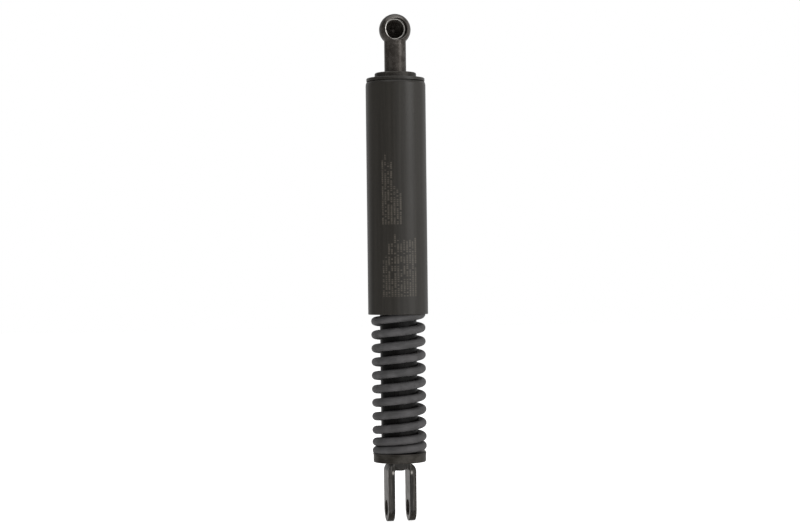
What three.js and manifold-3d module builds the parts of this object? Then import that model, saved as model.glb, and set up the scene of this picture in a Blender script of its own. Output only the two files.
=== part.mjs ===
// A gas strut stay: a gas spring inside a helper coil spring, with a cover tube over its upper half,
// a ball socket at the top and a fork at the bottom. It stands along +Z. The origin is the middle of the
// fork's pin hole, the pin runs along X, and the socket opens towards -Y. All lengths are in millimetres.
import * as THREE from "three";
import { mergeVertices } from "three/addons/utils/BufferGeometryUtils.js";
import Module from "manifold-3d";

const OUTER_SIDES = 32;
const INNER_SIDES = 24;
const WIRE_SIDES = 6;

// Fork: a flat strap bent into a U.
const STRAP_THICKNESS = 4;
const STRAP_WIDTH = 16;
const FORK_GAP = 9;
const FORK_TOP = 27.5;
const FORK_INNER_BEND = 1.5;
const PIN_HOLE_RADIUS = 4.75;
const STUD_RADIUS = 3;

// Lower spring seat and the flange on it.
const SEAT_RADIUS = 15.8;
const SEAT_TOP = 32.1;
const SHIM_RADIUS = 16;
const SPRING_BOTTOM = 33;

// Gas spring.
const TUBE_RADIUS = 11;
const TUBE_BORE = 9.75;
const TUBE_TOP = 178;
const BEAD_HEIGHT = 161.5;
const PLUG_RADIUS = 9.68;
const PLUG_TOP = 41;
const ROD_RADIUS = 5;
const ROD_RUNNING_BORE = 5.09;
const ROD_SHOULDER = 161;
const ROD_SPIGOT_RADIUS = 3;

// Helper spring. The ground ends leave the wire this thin at its tips.
const WIRE_RADIUS = 2.5;
const COIL_RADIUS = 13.85;
const SPRING_TOP = 251;
const TIP_THICKNESS = 1.7;
const CLOSED_PITCH = 5.04;
const OPEN_PITCH = 8.15;
const CLOSED_TURNS = 1.4;
const RAMP_TURNS = 0.8;
const STEPS_PER_TURN = 16;

// Cover tube and what closes it.
const COVER_RADIUS = 18;
const COVER_BORE = 16.8;
const COVER_BOTTOM = 116;
const COVER_TOP = 255.5;
const CORNER_IN = 0.6;
const CORNER_DOWN = 2.4;
const CAP_BOTTOM = 252.85;
const CAP_FLANGE_BOTTOM = 255.9;
const CAP_TOP = 257.8;
const CAP_RADIUS = 17.5;
const COLLAR_RADIUS = 12.5;
const COLLAR_TOP = 261.1;
const ROD_END_RADIUS = 4;

// Ball socket.
const HEAD_CENTRE = 287.1;
const HEAD_RADIUS = 9.5;
const NECK_RADIUS = 6.55;
const MOUTH_DEPTH = 6.1;
const SPOT_FACE_RADIUS = 9;
const SOCKET_RADIUS = 6.55;
const GROOVE_RADIUS = 7.35;
const GROOVE_DEPTH = 3.9;
const GROOVE_WIDTH = 1.1;
const RING_WIRE_RADIUS = 0.4;
const RING_RADIUS = 6;
const RING_SHIFT = -0.85;

const CLEARANCE = 0.05;

const wasm = await Module();
wasm.setup();

function steel(color, roughness, metalness = 0.6) {
  return new THREE.MeshStandardMaterial({ color, roughness, metalness });
}

const blackPaint = steel(0x3a3835, 0.45, 0.3);
const springCoating = steel(0x4a484a, 0.7, 0.2);
const tubePaint = steel(0x1d1c1b, 0.4, 0.3);
const blackenedSteel = steel(0x35302b, 0.4);
const forgedSteel = steel(0x3b3733, 0.4);
const brightWire = steel(0xc9c5bd, 0.25, 0.95);
const chromedRod = steel(0xb8babd, 0.15, 1);
const bareSteel = steel(0x8c8a86, 0.4, 0.9);
const brass = steel(0xb08d4c, 0.35, 0.9);
const rubber = steel(0x171717, 0.85, 0);
const plastic = steel(0x25262a, 0.6, 0);

function piece(name, geometry, material) {
  const mesh = new THREE.Mesh(geometry, material);
  mesh.name = name;
  return mesh;
}

// A closed geometry as a solid that can be joined and cut, and back again.
function toSolid(geometry) {
  const bare = geometry.clone();
  bare.deleteAttribute("normal");
  bare.deleteAttribute("uv");
  const merged = mergeVertices(bare, 1e-4);
  return new wasm.Manifold(
    new wasm.Mesh({
      numProp: 3,
      vertProperties: merged.attributes.position.array,
      triVerts: new Uint32Array(merged.index.array),
    }),
  );
}

function toGeometry(solid) {
  const mesh = solid.getMesh();
  const geometry = new THREE.BufferGeometry();
  geometry.setAttribute("position", new THREE.BufferAttribute(mesh.vertProperties, 3));
  geometry.setIndex(new THREE.BufferAttribute(mesh.triVerts, 1));
  return geometry.toNonIndexed();
}

// A body turned about Z. The profile is [radius, height] pairs, anticlockwise, and closes on itself
// unless it starts on the axis.
function turned(profile, sides = INNER_SIDES) {
  const closed = profile[0][0] === 0 ? profile : [...profile, profile[0]];
  const points = closed.map(([radius, height]) => new THREE.Vector2(radius, height));
  return new THREE.LatheGeometry(points, sides).rotateX(Math.PI / 2);
}

function washer(bore, radius, bottom, top, sides = INNER_SIDES) {
  const profile = [
    [bore, bottom],
    [radius, bottom],
    [radius, top],
    [bore, top],
  ];
  return turned(profile, sides);
}

// Points of a round stretch of a profile, from one angle to another, in degrees.
function arc(radius, height, size, from, to, steps) {
  return Array.from({ length: steps + 1 }, (_, step) => {
    const angle = THREE.MathUtils.degToRad(from + ((to - from) * step) / steps);
    return [radius + size * Math.cos(angle), height + size * Math.sin(angle)];
  });
}

// A wire of round section along a curve. An arc takes two sides for each of its curve segments.
function wire(curve, radius, steps) {
  const section = new THREE.Shape();
  section.absarc(0, 0, radius, 0, 2 * Math.PI);
  return new THREE.ExtrudeGeometry(section, {
    extrudePath: curve,
    steps,
    curveSegments: WIRE_SIDES / 2,
  });
}

// The strap seen from the front, as a U upside down.
function strapOutline() {
  const inner = FORK_GAP / 2;
  const outer = inner + STRAP_THICKNESS;
  const outerBend = FORK_INNER_BEND + STRAP_THICKNESS;
  const foot = -STRAP_WIDTH / 2;
  const bendStart = FORK_TOP - outerBend;
  const outline = new THREE.Shape();
  outline.moveTo(-inner, foot);
  outline.lineTo(-inner, bendStart);
  outline.absarc(outerBend - outer, bendStart, FORK_INNER_BEND, Math.PI, Math.PI / 2, true);
  outline.absarc(outer - outerBend, bendStart, FORK_INNER_BEND, Math.PI / 2, 0, true);
  outline.lineTo(inner, foot);
  outline.lineTo(outer, foot);
  outline.absarc(outer - outerBend, bendStart, outerBend, 0, Math.PI / 2);
  outline.absarc(outerBend - outer, bendStart, outerBend, Math.PI / 2, Math.PI);
  outline.lineTo(-outer, foot);
  return outline;
}

// The strap seen from the side: parallel edges and a half-round end about the pin hole.
function earOutline() {
  const half = STRAP_WIDTH / 2;
  const outline = new THREE.Shape();
  outline.absarc(0, 0, half, Math.PI, 2 * Math.PI);
  outline.lineTo(half, FORK_TOP + 1);
  outline.lineTo(-half, FORK_TOP + 1);
  const hole = new THREE.Path();
  hole.absarc(0, 0, PIN_HOLE_RADIUS, 0, 2 * Math.PI, true);
  outline.holes.push(hole);
  return outline;
}

function fork() {
  const reach = 2 * FORK_GAP;
  const strap = new THREE.ExtrudeGeometry(strapOutline(), {
    depth: STRAP_WIDTH,
    bevelEnabled: false,
    curveSegments: 6,
  });
  strap.rotateX(Math.PI / 2);
  strap.translate(0, STRAP_WIDTH / 2, 0);
  const ears = new THREE.ExtrudeGeometry(earOutline(), {
    depth: 2 * reach,
    bevelEnabled: false,
    curveSegments: 14,
  });
  ears.rotateX(Math.PI / 2);
  ears.rotateZ(Math.PI / 2);
  ears.translate(-reach, 0, 0);
  const studHole = turned([
    [0, FORK_TOP - 2 * STRAP_THICKNESS],
    [STUD_RADIUS + CLEARANCE, FORK_TOP - 2 * STRAP_THICKNESS],
    [STUD_RADIUS + CLEARANCE, FORK_TOP + 1],
    [0, FORK_TOP + 1],
  ]);
  const cut = toSolid(strap).intersect(toSolid(ears)).subtract(toSolid(studHole));
  return piece("fork", toGeometry(cut), blackenedSteel);
}

// The plug in the tube's lower end. Its stud passes through the seat and the fork, and is riveted over.
function endPlug() {
  const neck = 5;
  const web = FORK_TOP - STRAP_THICKNESS;
  const rivet = 3.2;
  const rivetBottom = web - 1.3;
  const groove = (SPRING_BOTTOM + PLUG_TOP) / 2;
  const grooveFloor = 8.6;
  const chamfer = 0.6;
  const profile = [
    [0, rivetBottom],
    [rivet - chamfer, rivetBottom],
    [rivet, rivetBottom + 0.5],
    [rivet, web],
    [STUD_RADIUS, web],
    [STUD_RADIUS, FORK_TOP],
    [neck, FORK_TOP],
    [neck, SPRING_BOTTOM],
    [PLUG_RADIUS, SPRING_BOTTOM],
    [PLUG_RADIUS, groove - 1],
    [grooveFloor, groove - 1],
    [grooveFloor, groove + 1],
    [PLUG_RADIUS, groove + 1],
    [PLUG_RADIUS, PLUG_TOP - chamfer],
    [PLUG_RADIUS - chamfer, PLUG_TOP],
    [0, PLUG_TOP],
  ];
  return piece("end_plug", turned(profile), blackenedSteel);
}

const LOWER_SEAT_BORE = 5 + CLEARANCE;

function lowerSpringSeat() {
  const chamfer = 0.5;
  const profile = [
    [LOWER_SEAT_BORE, FORK_TOP],
    [SEAT_RADIUS - chamfer, FORK_TOP],
    [SEAT_RADIUS, FORK_TOP + chamfer],
    [SEAT_RADIUS, SEAT_TOP],
    [LOWER_SEAT_BORE, SEAT_TOP],
  ];
  return piece("lower_spring_seat", turned(profile, OUTER_SIDES), blackenedSteel);
}

function lowerSeatShim() {
  const shim = washer(LOWER_SEAT_BORE, SHIM_RADIUS, SEAT_TOP, SPRING_BOTTOM, OUTER_SIDES);
  return piece("lower_seat_shim", shim, blackenedSteel);
}

// A tube with a rolled bead under the guide and its top edge rolled in over the seal's washer.
function pressureTube() {
  const wall = TUBE_RADIUS - TUBE_BORE;
  const beadDepth = 0.55;
  const lipBore = 7.4;
  const lipThickness = 1.2;
  const lipBottom = TUBE_TOP - lipThickness;
  const profile = [
    [TUBE_BORE, SPRING_BOTTOM],
    [TUBE_RADIUS, SPRING_BOTTOM],
    [TUBE_RADIUS, BEAD_HEIGHT - wall],
    [TUBE_RADIUS - beadDepth, BEAD_HEIGHT - 0.5],
    [TUBE_RADIUS - beadDepth, BEAD_HEIGHT + 0.5],
    [TUBE_RADIUS, BEAD_HEIGHT + wall],
    ...arc(TUBE_RADIUS - lipThickness, lipBottom, lipThickness, 0, 90, 2),
    [lipBore, TUBE_TOP],
    [lipBore, lipBottom],
    [TUBE_BORE, lipBottom],
    [TUBE_BORE, BEAD_HEIGHT + 1],
    [TUBE_BORE - beadDepth, BEAD_HEIGHT + 0.5],
    [TUBE_BORE - beadDepth, BEAD_HEIGHT - 0.5],
    [TUBE_BORE, BEAD_HEIGHT - 1],
  ];
  return piece("pressure_tube", turned(profile, OUTER_SIDES), tubePaint);
}

// Guide, seal and washer fill the tube's top between the bead and the rolled edge.
const GUIDE_BOTTOM = BEAD_HEIGHT + 1.1;
const GUIDE_TOP = 171;
const SEAL_TOP = 175.4;
const RETAINER_TOP = 176.7;

function rodGuide() {
  const chamfer = 1.2;
  const profile = [
    [ROD_RUNNING_BORE, GUIDE_BOTTOM],
    [PLUG_RADIUS, GUIDE_BOTTOM],
    [PLUG_RADIUS, GUIDE_TOP],
    [ROD_RUNNING_BORE + chamfer, GUIDE_TOP],
    [ROD_RUNNING_BORE, GUIDE_TOP - chamfer],
  ];
  return piece("rod_guide", turned(profile), brass);
}

function rodSeal() {
  const lip = 1.1;
  const lipGroove = 0.8;
  const middle = (GUIDE_TOP + SEAL_TOP) / 2;
  const profile = [
    [ROD_RUNNING_BORE, GUIDE_TOP],
    [PLUG_RADIUS, GUIDE_TOP],
    [PLUG_RADIUS, SEAL_TOP],
    [ROD_RUNNING_BORE, SEAL_TOP],
    [ROD_RUNNING_BORE, SEAL_TOP - lip],
    [ROD_RUNNING_BORE + lipGroove, middle],
    [ROD_RUNNING_BORE, GUIDE_TOP + lip],
  ];
  return piece("rod_seal", turned(profile), rubber);
}

function sealRetainer() {
  return piece("seal_retainer", washer(5.6, PLUG_RADIUS, SEAL_TOP, RETAINER_TOP), bareSteel);
}

// Height of the coil's wire above its lower tip, some turns along it. The closed turns come first,
// then a ramp, then the open turns, and the upper half mirrors the lower.
const RAMP_TOP = CLOSED_TURNS * CLOSED_PITCH + (RAMP_TURNS * (CLOSED_PITCH + OPEN_PITCH)) / 2;
const TIP_DROP = WIRE_RADIUS - TIP_THICKNESS;
const COIL_RISE = SPRING_TOP - SPRING_BOTTOM + 2 * TIP_DROP;
const COIL_TURNS = 2 * (CLOSED_TURNS + RAMP_TURNS) + (COIL_RISE - 2 * RAMP_TOP) / OPEN_PITCH;

function coilHeight(turns) {
  if (turns > COIL_TURNS / 2) return COIL_RISE - coilHeight(COIL_TURNS - turns);
  if (turns < CLOSED_TURNS) return turns * CLOSED_PITCH;
  const ramp = turns - CLOSED_TURNS;
  if (ramp > RAMP_TURNS) return RAMP_TOP + (ramp - RAMP_TURNS) * OPEN_PITCH;
  const growth = (OPEN_PITCH - CLOSED_PITCH) / RAMP_TURNS;
  return CLOSED_TURNS * CLOSED_PITCH + ramp * CLOSED_PITCH + (growth * ramp * ramp) / 2;
}

// Right-handed helix that starts at +X.
class CoilCurve extends THREE.Curve {
  getPoint(t, target = new THREE.Vector3()) {
    const turns = t * COIL_TURNS;
    const angle = 2 * Math.PI * turns;
    const height = SPRING_BOTTOM - TIP_DROP + coilHeight(turns);
    return target.set(COIL_RADIUS * Math.cos(angle), COIL_RADIUS * Math.sin(angle), height);
  }
}

function coilSpring() {
  const steps = Math.round(COIL_TURNS * STEPS_PER_TURN);
  const curve = new CoilCurve();
  curve.arcLengthDivisions = 4 * steps;
  const between = turned([
    [0, SPRING_BOTTOM],
    [2 * COIL_RADIUS, SPRING_BOTTOM],
    [2 * COIL_RADIUS, SPRING_TOP],
    [0, SPRING_TOP],
  ]);
  const ground = toSolid(wire(curve, WIRE_RADIUS, steps)).intersect(toSolid(between));
  return piece("coil_spring", toGeometry(ground), springCoating);
}

// The ring that the helper spring pushes up, with a short collar inside the coil.
const SPRING_SEAT_TOP = 252.2;
const SPRING_SEAT_BORE = 6.2;
const SPRING_SEAT_RADIUS = 16.2;

function upperSpringSeat() {
  const collar = 10.8;
  const collarBottom = SPRING_TOP - 2;
  const chamfer = 0.5;
  const profile = [
    [SPRING_SEAT_BORE, collarBottom],
    [collar - chamfer, collarBottom],
    [collar, collarBottom + chamfer],
    [collar, SPRING_TOP],
    [SPRING_SEAT_RADIUS, SPRING_TOP],
    [SPRING_SEAT_RADIUS, SPRING_SEAT_TOP],
    [SPRING_SEAT_BORE, SPRING_SEAT_TOP],
  ];
  return piece("upper_spring_seat", turned(profile, OUTER_SIDES), bareSteel);
}

function slipWasher() {
  const top = CAP_BOTTOM - CLEARANCE;
  const ring = washer(SPRING_SEAT_BORE, SPRING_SEAT_RADIUS, SPRING_SEAT_TOP, top, OUTER_SIDES);
  return piece("slip_washer", ring, plastic);
}

// Washer between the rod's upper shoulder and the cap.
const ROD_TOP_SHOULDER = 251.6;

function rodEndWasher() {
  const radius = 5.8;
  const ring = washer(ROD_END_RADIUS + CLEARANCE, radius, ROD_TOP_SHOULDER, CAP_BOTTOM);
  return piece("rod_end_washer", ring, bareSteel);
}

// From the bottom: a spigot for the piston, the rod, and an end that screws into the ball socket.
const ROD_BOTTOM = 148.8;
const ROD_TOP = 273;

function pistonRod() {
  const tip = 0.6;
  const profile = [
    [0, ROD_BOTTOM],
    [ROD_SPIGOT_RADIUS - tip, ROD_BOTTOM],
    [ROD_SPIGOT_RADIUS, ROD_BOTTOM + tip],
    [ROD_SPIGOT_RADIUS, ROD_SHOULDER],
    [ROD_RADIUS, ROD_SHOULDER],
    [ROD_RADIUS, ROD_TOP_SHOULDER],
    [ROD_END_RADIUS, ROD_TOP_SHOULDER],
    [ROD_END_RADIUS, ROD_TOP - tip],
    [ROD_END_RADIUS - tip, ROD_TOP],
    [0, ROD_TOP],
  ];
  return piece("piston_rod", turned(profile), chromedRod);
}

// The piston has a groove in which its ring floats, so that it opens and shuts the bypass.
const PISTON_BOTTOM = 151.8;
const PISTON_TOP = 160;
const GROOVE_BOTTOM = 154.2;
const GROOVE_TOP = 157.2;
const SPIGOT_BORE = ROD_SPIGOT_RADIUS + CLEARANCE;

function piston() {
  const radius = 9.45;
  const grooveFloor = 7.7;
  const chamfer = 0.5;
  const profile = [
    [SPIGOT_BORE, PISTON_BOTTOM],
    [radius - chamfer, PISTON_BOTTOM],
    [radius, PISTON_BOTTOM + chamfer],
    [radius, GROOVE_BOTTOM],
    [grooveFloor, GROOVE_BOTTOM],
    [grooveFloor, GROOVE_TOP],
    [radius, GROOVE_TOP],
    [radius, PISTON_TOP - chamfer],
    [radius - chamfer, PISTON_TOP],
    [SPIGOT_BORE, PISTON_TOP],
  ];
  return piece("piston", turned(profile), bareSteel);
}

function orificeDisc() {
  const radius = 8.5;
  return piece("orifice_disc", washer(SPIGOT_BORE, radius, PISTON_TOP, ROD_SHOULDER), bareSteel);
}

function pistonNut() {
  const acrossFlats = 10;
  const hexagon = new THREE.Shape();
  for (let corner = 0; corner < 6; corner += 1) {
    const angle = (corner * Math.PI) / 3;
    const radius = acrossFlats / Math.sqrt(3);
    const step = corner === 0 ? "moveTo" : "lineTo";
    hexagon[step](radius * Math.cos(angle), radius * Math.sin(angle));
  }
  const bore = new THREE.Path();
  bore.absarc(0, 0, SPIGOT_BORE + CLEARANCE, 0, 2 * Math.PI, true);
  hexagon.holes.push(bore);
  const bottom = ROD_BOTTOM + 0.6;
  const nut = new THREE.ExtrudeGeometry(hexagon, {
    depth: PISTON_BOTTOM - bottom,
    bevelEnabled: false,
    curveSegments: 12,
  });
  return piece("piston_nut", nut.translate(0, 0, bottom), bareSteel);
}

// A split ring, clear of the groove's floor and of the tube.
function pistonRing() {
  const outer = 9.66;
  const inner = 8;
  const height = 2.4;
  const halfGap = 0.06;
  const outline = new THREE.Shape();
  outline.absarc(0, 0, outer, halfGap, 2 * Math.PI - halfGap);
  outline.absarc(0, 0, inner, 2 * Math.PI - halfGap, halfGap, true);
  const ring = new THREE.ExtrudeGeometry(outline, {
    depth: height,
    bevelEnabled: false,
    curveSegments: INNER_SIDES / 2,
  });
  return piece("piston_ring", ring.translate(0, 0, GROOVE_BOTTOM + CLEARANCE), plastic);
}

// Cover tube: open at the bottom, its top edge rolled in over the cap.
function outerTube() {
  const shoulder = COVER_TOP - CORNER_DOWN;
  const edge = 0.2;
  const profile = [
    [COVER_BORE, COVER_BOTTOM],
    [COVER_RADIUS - edge, COVER_BOTTOM],
    [COVER_RADIUS, COVER_BOTTOM + edge],
    [COVER_RADIUS, shoulder],
    [COVER_RADIUS - 0.2 * CORNER_IN, shoulder + 0.5 * CORNER_DOWN],
    [COVER_RADIUS - CORNER_IN, COVER_TOP],
    [COVER_BORE - CORNER_IN, COVER_TOP],
    [COVER_BORE, shoulder + 0.4],
  ];
  return piece("outer_tube", turned(profile, OUTER_SIDES), blackPaint);
}

function topCap() {
  const bore = ROD_END_RADIUS + CLEARANCE;
  const spigot = COVER_BORE - 2 * CLEARANCE;
  const groove = spigot - CORNER_IN;
  const edge = 0.3;
  const profile = [
    [bore, CAP_BOTTOM],
    [spigot, CAP_BOTTOM],
    [spigot, CAP_BOTTOM + 0.5],
    [groove, CAP_BOTTOM + 1],
    [groove, CAP_FLANGE_BOTTOM],
    [CAP_RADIUS, CAP_FLANGE_BOTTOM],
    [CAP_RADIUS, CAP_TOP - edge],
    [CAP_RADIUS - edge, CAP_TOP],
    [bore, CAP_TOP],
  ];
  return piece("top_cap", turned(profile, OUTER_SIDES), blackPaint);
}

function capCollar() {
  const bore = ROD_END_RADIUS + CLEARANCE;
  const edge = 1;
  const profile = [
    [bore, CAP_TOP],
    [COLLAR_RADIUS, CAP_TOP],
    ...arc(COLLAR_RADIUS - edge, COLLAR_TOP - edge, edge, 0, 90, 3),
    [bore, COLLAR_TOP],
  ];
  return piece("cap_collar", turned(profile, OUTER_SIDES), blackenedSteel);
}

// A body turned about the socket's own axis: height 0 is the middle of the head, and it rises towards -Y.
function turnedAcross(profile) {
  return turned(profile, OUTER_SIDES).rotateX(Math.PI / 2).translate(0, 0, HEAD_CENTRE);
}

// The ball's seat, its cylindrical wall, and the groove for the snap ring.
function socketHollow() {
  const seat = 5.6;
  const seatHeight = -3.3;
  const dimple = 1.5;
  const beyond = MOUTH_DEPTH + 2;
  return turnedAcross([
    [0, -7.4],
    [dimple, -6.7],
    [seat, seatHeight],
    [SOCKET_RADIUS, seatHeight],
    [SOCKET_RADIUS, GROOVE_DEPTH - GROOVE_WIDTH / 2],
    [GROOVE_RADIUS, GROOVE_DEPTH - GROOVE_WIDTH / 2],
    [GROOVE_RADIUS, GROOVE_DEPTH + GROOVE_WIDTH / 2],
    [SOCKET_RADIUS, GROOVE_DEPTH + GROOVE_WIDTH / 2],
    [SOCKET_RADIUS, beyond],
    [0, beyond],
  ]);
}

function ballSocket() {
  const threadRadius = ROD_END_RADIUS + CLEARANCE;
  const threadTop = ROD_TOP + 1;
  const joinAngle = THREE.MathUtils.radToDeg(Math.acos(NECK_RADIUS / HEAD_RADIUS));
  const head = turned(
    [
      [0, threadTop],
      [threadRadius, threadTop],
      [threadRadius, COLLAR_TOP],
      [NECK_RADIUS, COLLAR_TOP],
      ...arc(0, HEAD_CENTRE, HEAD_RADIUS, -joinAngle, 89, 11),
      [0, HEAD_CENTRE + HEAD_RADIUS],
    ],
    OUTER_SIDES,
  );
  const spotFace = turnedAcross([
    [0, MOUTH_DEPTH],
    [SPOT_FACE_RADIUS, MOUTH_DEPTH],
    [SPOT_FACE_RADIUS, 2 * HEAD_RADIUS],
    [0, 2 * HEAD_RADIUS],
  ]);
  const cut = toSolid(head).subtract(toSolid(spotFace)).subtract(toSolid(socketHollow()));
  return piece("ball_socket", toGeometry(cut), forgedSteel);
}

// Open wire ring that lies over to one side of its groove, with its gap at -X.
class RingCurve extends THREE.Curve {
  getPoint(t, target = new THREE.Vector3()) {
    const gap = 0.14;
    const angle = Math.PI + gap + t * 2 * (Math.PI - gap);
    const x = RING_SHIFT + RING_RADIUS * Math.cos(angle);
    return target.set(x, -GROOVE_DEPTH, HEAD_CENTRE + RING_RADIUS * Math.sin(angle));
  }
}

function socketRing() {
  return piece("socket_ring", wire(new RingCurve(), RING_WIRE_RADIUS, OUTER_SIDES), brightWire);
}

const strut = new THREE.Group();
strut.add(fork(), endPlug(), lowerSpringSeat(), lowerSeatShim());
strut.add(pressureTube(), rodGuide(), rodSeal(), sealRetainer());
strut.add(pistonRod(), piston(), orificeDisc(), pistonNut(), pistonRing());
strut.add(coilSpring(), upperSpringSeat(), slipWasher());
strut.add(rodEndWasher(), outerTube(), topCap(), capCollar());
strut.add(ballSocket(), socketRing());

export default strut;
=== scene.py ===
"""Looks of the gas strut stay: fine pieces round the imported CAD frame, procedural finishes, a pale studio.

The strut stands along +Z, its pin lies along X and its ball socket opens towards -Y. Profiles are in
millimetres, as (radius, height) or (radius, height, fillet) corners, and the meshes are in metres.
"""

import math

import bmesh
import bpy
from mathutils import Matrix, Quaternion, Vector


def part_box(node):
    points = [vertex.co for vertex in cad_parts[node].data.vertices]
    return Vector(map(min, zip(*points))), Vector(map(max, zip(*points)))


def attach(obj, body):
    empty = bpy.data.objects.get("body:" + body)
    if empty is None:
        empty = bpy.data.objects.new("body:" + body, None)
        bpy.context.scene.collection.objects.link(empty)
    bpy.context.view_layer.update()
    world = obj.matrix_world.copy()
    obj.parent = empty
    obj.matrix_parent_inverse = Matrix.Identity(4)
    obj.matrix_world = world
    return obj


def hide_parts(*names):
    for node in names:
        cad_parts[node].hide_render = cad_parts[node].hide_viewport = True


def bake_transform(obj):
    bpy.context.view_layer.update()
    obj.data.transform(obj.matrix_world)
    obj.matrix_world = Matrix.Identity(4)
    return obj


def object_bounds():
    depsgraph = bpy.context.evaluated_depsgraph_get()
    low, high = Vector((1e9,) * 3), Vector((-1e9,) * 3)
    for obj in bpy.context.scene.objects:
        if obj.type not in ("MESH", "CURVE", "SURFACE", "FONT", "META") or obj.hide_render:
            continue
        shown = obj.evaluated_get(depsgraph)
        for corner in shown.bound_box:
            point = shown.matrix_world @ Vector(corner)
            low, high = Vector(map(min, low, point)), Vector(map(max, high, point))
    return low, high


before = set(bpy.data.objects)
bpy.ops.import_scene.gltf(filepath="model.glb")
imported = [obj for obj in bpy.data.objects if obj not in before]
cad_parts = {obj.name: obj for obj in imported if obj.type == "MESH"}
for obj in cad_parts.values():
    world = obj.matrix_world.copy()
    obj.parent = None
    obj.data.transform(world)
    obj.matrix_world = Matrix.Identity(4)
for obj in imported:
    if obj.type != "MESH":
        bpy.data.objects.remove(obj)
CAD_LOW, CAD_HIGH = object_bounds()

MM = 0.001
TURNED_SIDES = 128
SMALL_SIDES = 96
FILLET_STEPS = 4
SHARP_ANGLE = math.radians(35)
WELD = 0.002
HEAD_RADIUS = 9.5
SOCKET_CENTRE = CAD_HIGH.z / MM - HEAD_RADIUS


# Sizes of the CAD nodes, in millimetres.


class Span:
    """A turned node's radius, bottom, top and height, from its box."""

    def __init__(self, node):
        low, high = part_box(node)
        self.radius = high.x / MM
        self.bottom = low.z / MM
        self.top = high.z / MM
        self.height = self.top - self.bottom


# Meshes.


def fillet(before, corner, after, size):
    """The points of an arc that rounds a corner off."""
    back = (before - corner).normalized()
    ahead = (after - corner).normalized()
    half = back.angle(ahead) / 2
    centre = corner + (back + ahead).normalized() * (size / math.sin(half))
    start = corner + back * (size / math.tan(half)) - centre
    end = corner + ahead * (size / math.tan(half)) - centre
    sweep = math.pi - 2 * half
    points = []
    for step in range(FILLET_STEPS + 1):
        share = step / FILLET_STEPS
        first = math.sin((1 - share) * sweep) / math.sin(sweep)
        second = math.sin(share * sweep) / math.sin(sweep)
        points.append(centre + first * start + second * end)
    return points


def rounded(profile):
    """A profile's points, with an arc at each corner that gives a fillet."""
    corners = [Vector(corner[:2]) for corner in profile]
    count = len(corners)
    points = []
    for index, corner in enumerate(profile):
        if len(corner) == 3:
            before = corners[index - 1]
            after = corners[(index + 1) % count]
            points += fillet(before, corners[index], after, corner[2])
        else:
            points.append(corners[index])
    return points


def arc(radius, height, size, start, end, steps):
    """The points of a round stretch of a profile, between two angles in degrees."""
    angles = [math.radians(start + (end - start) * step / steps) for step in range(steps + 1)]
    return [(radius + size * math.cos(a), height + size * math.sin(a)) for a in angles]


def smooth(mesh):
    mesh.shade_smooth()
    mesh.set_sharp_from_angle(angle=SHARP_ANGLE)


def to_object(name, maker):
    """A bmesh as an object in the scene, with its faces turned outwards."""
    bmesh.ops.recalc_face_normals(maker, faces=maker.faces)
    mesh = bpy.data.meshes.new(name)
    maker.to_mesh(mesh)
    maker.free()
    made = bpy.data.objects.new(name, mesh)
    bpy.context.scene.collection.objects.link(made)
    smooth(mesh)
    return made


def join_rings(maker, lower, upper):
    """Faces between two rings of vertices. A ring of one vertex is a pole."""
    sides = max(len(lower), len(upper))
    for side in range(sides):
        ahead = (side + 1) % sides
        corners = [lower[side % len(lower)]]
        if len(lower) > 1:
            corners.append(lower[ahead])
        if len(upper) > 1:
            corners.append(upper[ahead])
        corners.append(upper[side % len(upper)])
        maker.faces.new(corners)


def turned(name, profile, sides=SMALL_SIDES, matrix=None):
    """A body turned about Z. Its profile starts and ends on the axis, or else closes on itself."""
    points = rounded(profile)
    maker = bmesh.new()
    rings = []
    for radius, height in points:
        count = sides if radius > 0 else 1
        angles = [2 * math.pi * side / count for side in range(count)]
        place = [(radius * math.cos(a) * MM, radius * math.sin(a) * MM, height * MM) for a in angles]
        rings.append([maker.verts.new(point) for point in place])
    for lower, upper in zip(rings, rings[1:]):
        join_rings(maker, lower, upper)
    if len(rings[0]) > 1:
        join_rings(maker, rings[-1], rings[0])
    if matrix:
        bmesh.ops.transform(maker, matrix=matrix, verts=maker.verts)
    return to_object(name, maker)


def washer(name, bore, radius, bottom, top, edge, sides=SMALL_SIDES):
    """A flat ring with rounded edges."""
    profile = [
        (bore, bottom, edge),
        (radius, bottom, edge),
        (radius, top, edge),
        (bore, top, edge),
    ]
    return turned(name, profile, sides)


def prism(name, outline, start, end, matrix=None):
    """An outline in the XY plane, made solid between two heights, in metres."""
    maker = bmesh.new()
    lower = [maker.verts.new((x, y, start)) for x, y in outline]
    upper = [maker.verts.new((x, y, end)) for x, y in outline]
    maker.faces.new(lower)
    maker.faces.new(upper)
    join_rings(maker, lower, upper)
    if matrix:
        bmesh.ops.transform(maker, matrix=matrix, verts=maker.verts)
    return to_object(name, maker)


def settle(made):
    """Makes an object's modifiers part of its mesh."""
    shown = made.evaluated_get(bpy.context.evaluated_depsgraph_get())
    mesh = bpy.data.meshes.new_from_object(shown)
    mesh.name = made.name
    made.modifiers.clear()
    made.data = mesh
    smooth(mesh)


def weld(made):
    """Merges corners that a cut leaves almost in one place."""
    maker = bmesh.new()
    maker.from_mesh(made.data)
    bmesh.ops.remove_doubles(maker, verts=maker.verts, dist=WELD * MM)
    bmesh.ops.dissolve_degenerate(maker, edges=maker.edges, dist=WELD * MM)
    maker.to_mesh(made.data)
    maker.free()
    smooth(made.data)


def combine(made, other, operation):
    """Joins, cuts or intersects an object with another one, which it uses up."""
    modifier = made.modifiers.new("Combine", "BOOLEAN")
    modifier.operation = operation
    modifier.solver = "EXACT"
    modifier.object = other
    settle(made)
    weld(made)
    bpy.data.objects.remove(other)


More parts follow.
